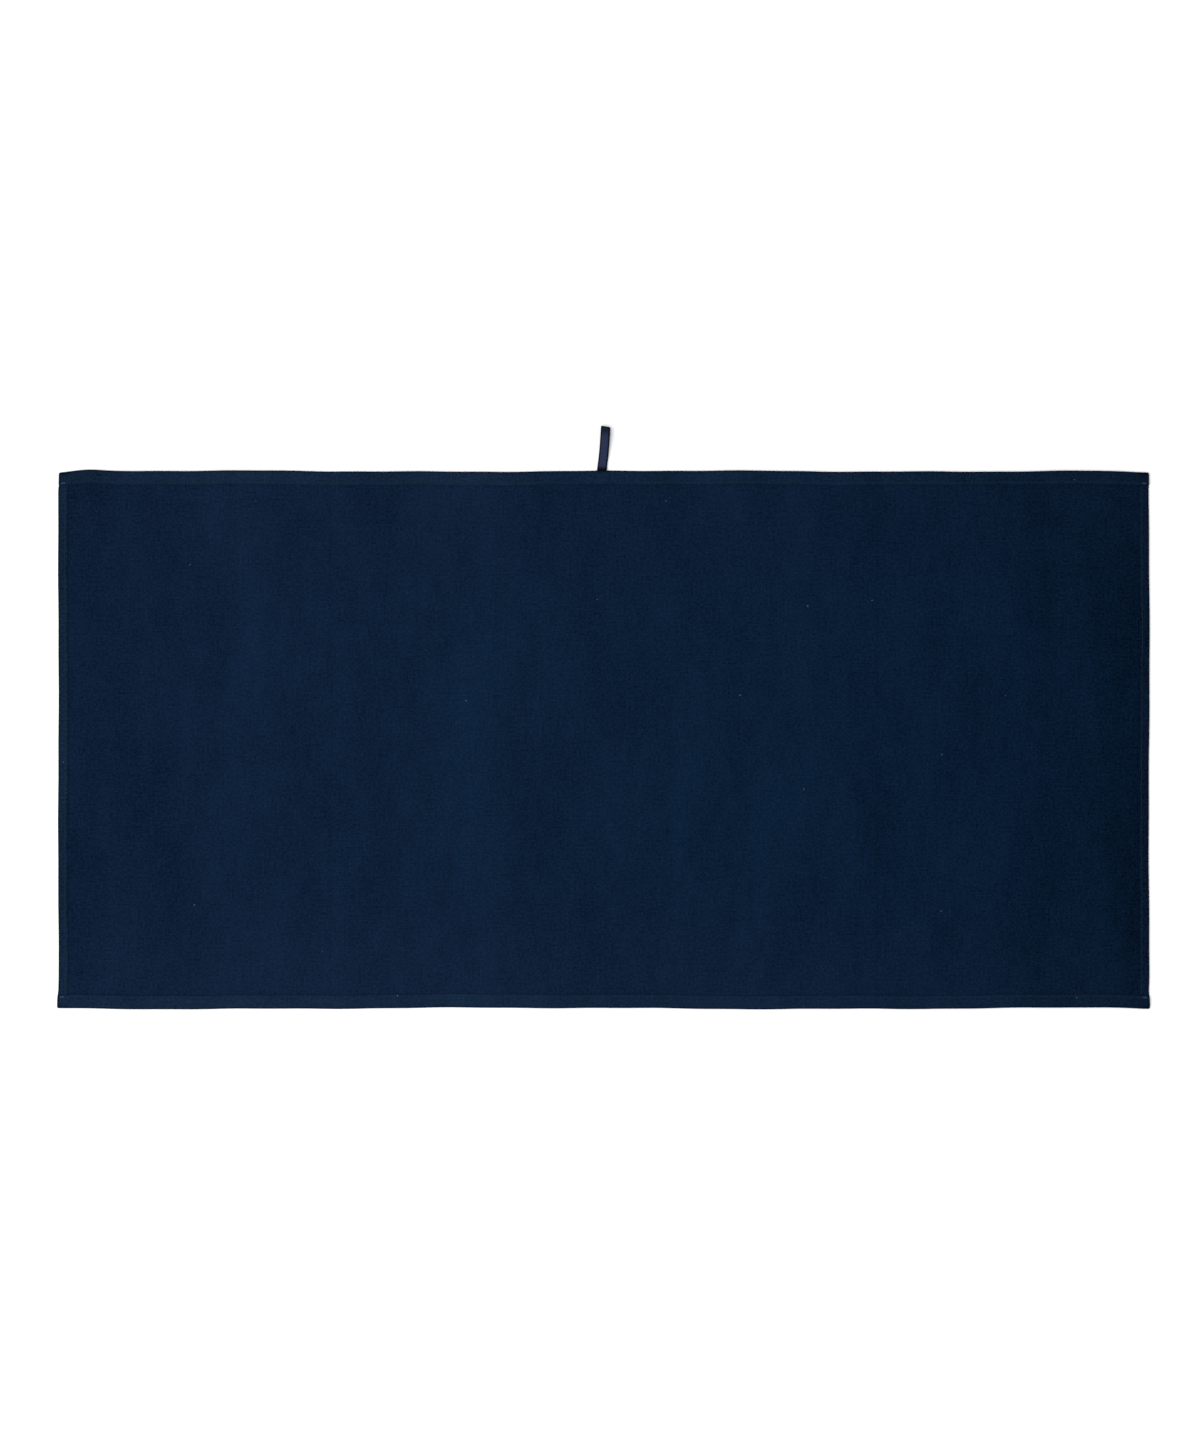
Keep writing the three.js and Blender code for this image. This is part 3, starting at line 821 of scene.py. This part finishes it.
def stitch_path(start, end, pitch, chance):
    """Where a row of stitches goes, as the distance along the seam, the sideways stray and the rise of each point.

    In each stitch the thread comes up through its hole, arches over the cloth and goes down again: the rise is a
    flat-topped arch, and the stray a slant that turns back at each hole, with a little chance in both.
    """
    count = max(2, int(round((end - start) / pitch)))
    step = (end - start) / count
    share = np.array([0, 0.05, 0.13, 0.28, 0.5, 0.72, 0.87, 0.95])
    rise = np.array([-0.34, -0.10, 0.06, 0.13, 0.15, 0.13, 0.06, -0.10]) * MM
    slant = np.array([0, 0.10, 0.09, 0.05, 0, -0.05, -0.09, -0.10]) * MM
    holes = start + step * (np.arange(count) + chance.normal(0, 0.03, count))
    holes[0] = start
    along = (holes[:, None] + share * np.diff(np.append(holes, end))[:, None]).ravel()
    swell = 1 + chance.normal(0, 0.12, count)[:, None]
    height = np.where(rise < 0, rise, rise * swell).ravel()
    stray = (slant + chance.normal(0, 0.035, count)[:, None] * MM).ravel()
    return np.append(along, end), np.append(stray, 0), np.append(height, rise[0])


def thread_profile(sizes, rings):
    """Six points round a thread that is a little wider than it is high."""
    angle = np.arange(6) * math.pi / 3
    one = np.stack([np.cos(angle) * sizes.thread * 0.62, np.sin(angle) * sizes.thread * 0.5], axis=-1)
    return np.broadcast_to(one, (rings, 6, 2))


def make_stitches(name, along, stray, rise, place, upper, thread="navy_thread"):
    """A row of stitches as one continuous thread on the upper side or the underside of a hem.

    place turns the distance along and the stray into X and Y. The thread's height is the hem's own there plus the
    rise, or minus the rise below.
    """
    sizes = bpy.context.scene.towel_sizes
    x, y = place(along, stray)
    path = sewn(sizes, x, y, upper)
    path[:, 2] += rise if upper else -rise
    if not upper:
        path[:, 2] = np.maximum(path[:, 2], sizes.thread * 0.5)
    ahead = np.gradient(path[:, :2], axis=0)
    sideways = np.stack([-ahead[:, 1], ahead[:, 0], 0 * ahead[:, 0]], axis=-1)
    material = finish_named(thread, thread_finish, thread)
    return make_tube(name, path, sideways, thread_profile(sizes, len(path)), material)


class TowelEndSeams(bpy.types.Operator):
    """Sew the top and bottom hems, with the needle thread above and the bobbin thread below"""

    bl_idname = "towel.end_seams"
    bl_label = "End seams"

    def execute(self, context):
        sizes = context.scene.towel_sizes
        chance = np.random.default_rng(11)
        for end, seam in (("top", TOP_SEAM), ("bottom", BOTTOM_SEAM)):
            for thread, upper in (("needle", True), ("bobbin", False)):
                for side, start, stop in (("left", -SEAM_REACH, PARTING), ("right", PARTING, SEAM_REACH)):
                    row = stitch_path(start, stop, sizes.end_stitch, chance)
                    piece = make_stitches(
                        f"{end}_{thread}_stitches_{side}", *row, lambda s, off, seam=seam: (s, seam + off), upper
                    )
                    bend_at_fold(piece, side, sizes.fold)
                    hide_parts(f"{end}_{thread}_thread_{side}", f"{end}_{thread}_thread_middle")
                    piece["towel_length"] = side
        return {"FINISHED"}


class TowelSideSeams(bpy.types.Operator):
    """Sew the side hems, with the needle thread above and the bobbin thread below"""

    bl_idname = "towel.side_seams"
    bl_label = "Side seams"

    def execute(self, context):
        sizes = context.scene.towel_sizes
        chance = np.random.default_rng(12)
        for side, seam, pitch in (
            ("left", LEFT_SEAM, sizes.left_stitch),
            ("right", RIGHT_SEAM, sizes.right_stitch),
        ):
            for thread, upper in (("needle", True), ("bobbin", False)):
                row = stitch_path(MIDDLE_Y - SIDE_SEAM_REACH, MIDDLE_Y + SIDE_SEAM_REACH, pitch, chance)
                piece = make_stitches(
                    f"{side}_{thread}_stitches", *row, lambda s, off, seam=seam: (seam - off, s), upper
                )
                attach(piece, f"{side}_quarter")
                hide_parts(f"{side}_{thread}_thread")
                piece["towel_length"] = side
        return {"FINISHED"}


class TowelTacks(bpy.types.Operator):
    """Lock the seams' ends and the loop's tails with back stitches"""

    bl_idname = "towel.tacks"
    bl_label = "Back stitches"

    def execute(self, context):
        chance = np.random.default_rng(13)
        for end, seam in (("top", TOP_SEAM), ("bottom", BOTTOM_SEAM)):
            for side, sign in (("left", -1), ("right", 1)):
                low, high = sorted((sign * TACK_INNER, sign * TACK_OUTER))
                piece = self.back_and_forth(
                    f"{end}_{side}_back_stitches", low, high, seam, 1.5 * MM, 5, 0.85 * MM, chance, "piled_thread"
                )
                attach(piece, f"{side}_quarter")
                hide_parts(f"{end}_{side}_corner_tack")
                piece["towel_length"] = side
        low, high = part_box("loop_tack")[0].x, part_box("loop_tack")[1].x
        piece = self.back_and_forth("loop_back_stitches", low, high, LOOP_TACK, 1.75 * MM, 3, 0.6 * MM, chance)
        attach(piece, "middle")
        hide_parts("loop_tack")
        piece["towel_length"] = "left"
        return {"FINISHED"}

    def back_and_forth(self, name, low, high, seam, pitch, runs, spread, chance, thread="navy_thread"):
        """A thread that runs from low to high and back, each run a little beside the last.

        The place along the seam is a triangle wave of the distance sewn, and the stray goes evenly from one side
        of the seam to the other.
        """
        span = high - low
        along, stray, rise = stitch_path(0, span * runs, pitch, chance)
        turn = np.mod(along / span, 2)
        x = low + span * (1 - np.abs(turn - 1))
        beside = spread * (along / (span * runs) - 0.5)
        rise = np.where(rise < 0, rise, rise + 0.08 * MM * np.abs(np.sin(along / span * math.pi)))
        return make_stitches(name, along, stray, rise, lambda s, off: (x, seam + beside + off), True, thread)


def loop_line(sizes):
    """The middle of the loop's tape, as its distance out from the root and its height.

    Two legs lie on each other inside the hem and just past it. The lower one then drops to the surface, both run
    out, and a half circle joins them. The drops are smoothstep curves.
    """
    reach = (LOOP_END.y - LOOP_ROOT[1] - sizes.tape_width / 2 * math.sin(LOOP_LEAN)) / math.cos(LOOP_LEAN)
    half = sizes.tape / 2
    radius = LOOP_END.z / 2 - half
    bend = reach - radius - half
    tail = LOOP_ROOT[1] - TAIL_END - 1.6 * MM  # ends just inside the hem's inner turn
    inside, at_root = np.linspace(-tail, -1 * MM, 14), np.linspace(-0.8 * MM, 1.2 * MM, 12)
    out = np.concatenate([inside, at_root, np.linspace(1.6 * MM, bend, 44)])
    low = half + (LOOP_ROOT[2] - 2 * half) * (1 - smooth(1 * MM, 8.5 * MM, out))
    angle = np.linspace(-math.pi / 2, math.pi / 2, 17)[1:-1]
    high = LOOP_ROOT[2] + half + (LOOP_END.z - half - LOOP_ROOT[2] - half) * smooth(5 * MM, bend - 1 * MM, out)
    s = np.concatenate([out, bend + radius * np.cos(angle), out[::-1]])
    z = np.concatenate([low, radius + half + radius * np.sin(angle), high[::-1]])
    return s, z


class TowelLoop(bpy.types.Operator):
    """Make the hanging loop: one tape, folded in two, with its tails sewn into the top hem"""

    bl_idname = "towel.loop"
    bl_label = "Hanging loop"

    def execute(self, context):
        sizes = context.scene.towel_sizes
        s, z = loop_line(sizes)
        count = 22
        angle = np.arange(count) * 2 * math.pi / count
        wide = np.sign(np.cos(angle)) * np.abs(np.cos(angle)) ** 0.45
        thick = np.sign(np.sin(angle)) * np.abs(np.sin(angle)) ** 0.7
        flare = 1 + 0.04 * bump(0.4 * MM, 2.2 * MM, s)
        half = sizes.tape_width / 2
        woven_edge = 1 + 0.25 * smooth(0.72, 0.9, np.abs(wide)) * (s[:, None] > 0)
        path = np.stack([0 * s, s, z], axis=-1)
        profile = np.stack([half * wide * flare[:, None], sizes.tape / 2 * thick * woven_edge], axis=-1)
        sideways = np.broadcast_to([1.0, 0.0, 0.0], path.shape)
        material = finish_named("woven_tape", tape_finish)
        piece = make_tube("tape_loop", path, sideways, profile, material, self.leaned)
        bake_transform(piece)
        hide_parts("hanging_loop", "loop_tails")
        piece["towel_length"] = "left"
        return {"FINISHED"}

    def leaned(self, rings):
        """The rings put in place: turned by the lean past the root, with the far end a little askew."""
        x, s, z = rings[..., 0], rings[..., 1], rings[..., 2]
        far = smooth(20 * MM, 32 * MM, s)
        s = s - far * (0.07 * x + 0.5 * MM * smooth(2.2 * MM, 3.6 * MM, x))
        sway = 0.25 * MM * np.sin(s / (9 * MM)) * smooth(2 * MM, 10 * MM, s)
        lean = LOOP_LEAN * smooth(-1 * MM, 1 * MM, s)
        return np.stack([
            LOOP_ROOT[0] + (x + sway) * np.cos(lean) + s * np.sin(lean),
            LOOP_ROOT[1] + s * np.cos(lean) - x * np.sin(lean),
            z,
        ], axis=-1)


class TowelStage(bpy.types.Operator):
    """Set the pale floor, the soft light and the camera"""

    bl_idname = "towel.stage"
    bl_label = "Stage"

    def execute(self, context):
        scene = context.scene
        white = rgba(scene.towel_colours.floor)
        material = Finish("pale_floor").done({"Base Color": white, "Roughness": 0.9, "Specular IOR Level": 0.1})
        reach, under = 20.0, -0.3 * MM
        corners = np.array([(-1, -1, 0), (1, -1, 0), (1, 1, 0), (-1, 1, 0)]) * reach + np.array([0, 0, under])
        piece = make_piece("floor", corners, [np.array([[0, 1, 2, 3]])], [corners[None, :, :2]], material)
        piece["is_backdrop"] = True

        world = bpy.data.worlds.new("pale_room")
        world.use_nodes = True
        background = world.node_tree.nodes["Background"]
        background.inputs["Color"].default_value = (0.97, 0.98, 1.0, 1.0)
        background.inputs["Strength"].default_value = 0.68
        scene.world = world

        self.soft_light("key_light", (-0.80, -0.35, 1.7), (-0.1, 0.0, 0.0), 1.8, 36.0)
        self.soft_light("fill_light", (0.3, 0.6, 2.2), (0.1, 0.0, 0.0), 2.0, 10.0)
        scene.view_settings.view_transform = "Standard"

        lens, sensor, span = 100.0, 36.0, 1.0564
        camera = bpy.data.objects.new("camera", bpy.data.cameras.new("camera"))
        camera.data.lens, camera.data.sensor_width = lens, sensor
        camera.data.clip_end = 50.0
        camera.location = (-2.75 * MM, -2.0 * MM, span * lens / sensor)
        scene.collection.objects.link(camera)
        scene.camera = camera
        return {"FINISHED"}

    def soft_light(self, name, place, aim, size, power):
        """A square softbox at a place, turned to aim at a point."""
        data = bpy.data.lights.new(name, "AREA")
        data.shape, data.size, data.energy = "SQUARE", size, power
        light = bpy.data.objects.new(name, data)
        light.location = place
        direction = np.array(aim) - np.array(place)
        light.rotation_euler = (
            math.atan2(math.hypot(direction[0], direction[1]), -direction[2]),
            0.0,
            math.atan2(direction[0], -direction[1]) + math.pi,
        )
        bpy.context.scene.collection.objects.link(light)


# The cloth comes last
STEPS = (TowelStage, TowelEndSeams, TowelSideSeams, TowelTacks, TowelLoop, TowelCloth)


class TowelPanel(bpy.types.Panel):
    """The towel's sizes, colours and pieces"""

    bl_idname = "VIEW3D_PT_towel"
    bl_label = "Golf towel"
    bl_space_type = "VIEW_3D"
    bl_region_type = "UI"
    bl_category = "Towel"

    def draw(self, context):
        for group in (context.scene.towel_sizes, context.scene.towel_colours):
            box = self.layout.box()
            for name in group.bl_rna.properties.keys():
                if name not in ("rna_type", "name"):
                    box.prop(group, name)
        for step in STEPS:
            self.layout.operator(step.bl_idname)


CLASSES = (TowelSizes, TowelColours, *STEPS, TowelPanel)


def register():
    for each in CLASSES:
        bpy.utils.register_class(each)
    bpy.types.Scene.towel_sizes = bpy.props.PointerProperty(type=TowelSizes)
    bpy.types.Scene.towel_colours = bpy.props.PointerProperty(type=TowelColours)


def unregister():
    del bpy.types.Scene.towel_colours
    del bpy.types.Scene.towel_sizes
    for each in reversed(CLASSES):
        bpy.utils.unregister_class(each)


def main():
    """Builds everything in order."""
    register()
    for step in STEPS:
        group, name = step.bl_idname.split(".")
        getattr(getattr(bpy.ops, group), name)()


if __name__ == "__main__":
    main()
